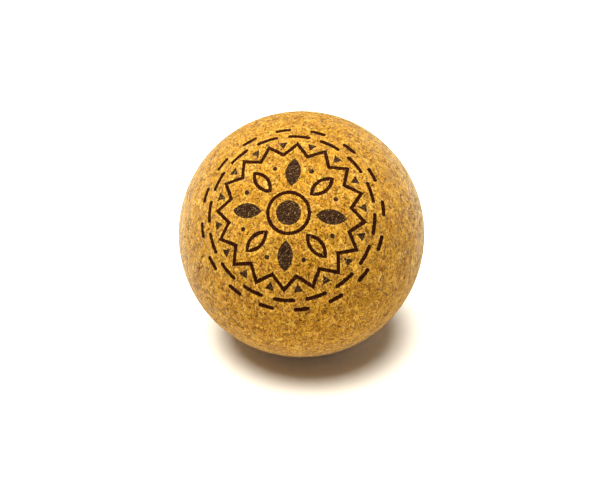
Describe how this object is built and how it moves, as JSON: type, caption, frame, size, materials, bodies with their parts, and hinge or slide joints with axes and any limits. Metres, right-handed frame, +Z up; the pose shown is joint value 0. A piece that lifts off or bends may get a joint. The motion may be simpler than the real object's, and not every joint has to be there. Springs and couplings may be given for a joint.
{
  "type": "cork massage ball",
  "caption": "Solid ball of agglomerated cork for self-massage, sanded round, with a burnt geometric roundel on one side.",
  "frame": {"origin": "the centre of the ball", "axes": "+Z up as the ball lies in use; the burnt roundel faces -Y and is tilted 43 degrees up from the horizontal; +X is to the right of someone who looks at the roundel"},
  "size_m": [0.065, 0.065, 0.065],
  "materials": {
    "cork": "sanded, matt",
    "pale_cork": "sanded, matt",
    "golden_cork": "sanded, matt",
    "russet_cork": "sanded, matt",
    "bark_cork": "sanded, matt",
    "char_line": "burnt, matt",
    "char_fill": "burnt, matt, finely speckled"
  },
  "bodies": {
    "root": {"cork_body": "cork", "pale_granules": "pale_cork", "golden_granules": "golden_cork", "russet_granules": "russet_cork", "bark_granules": "bark_cork", "burnt_centre_disc": "char_fill", "burnt_filled_petals": "char_fill", "burnt_triangles": "char_fill", "burnt_dots": "char_fill", "burnt_inner_ring": "char_line", "burnt_petal_outlines": "char_line", "burnt_zigzag": "char_line", "burnt_inner_dashes": "char_line", "burnt_outer_dashes": "char_line"}
  },
  "joints": []
}
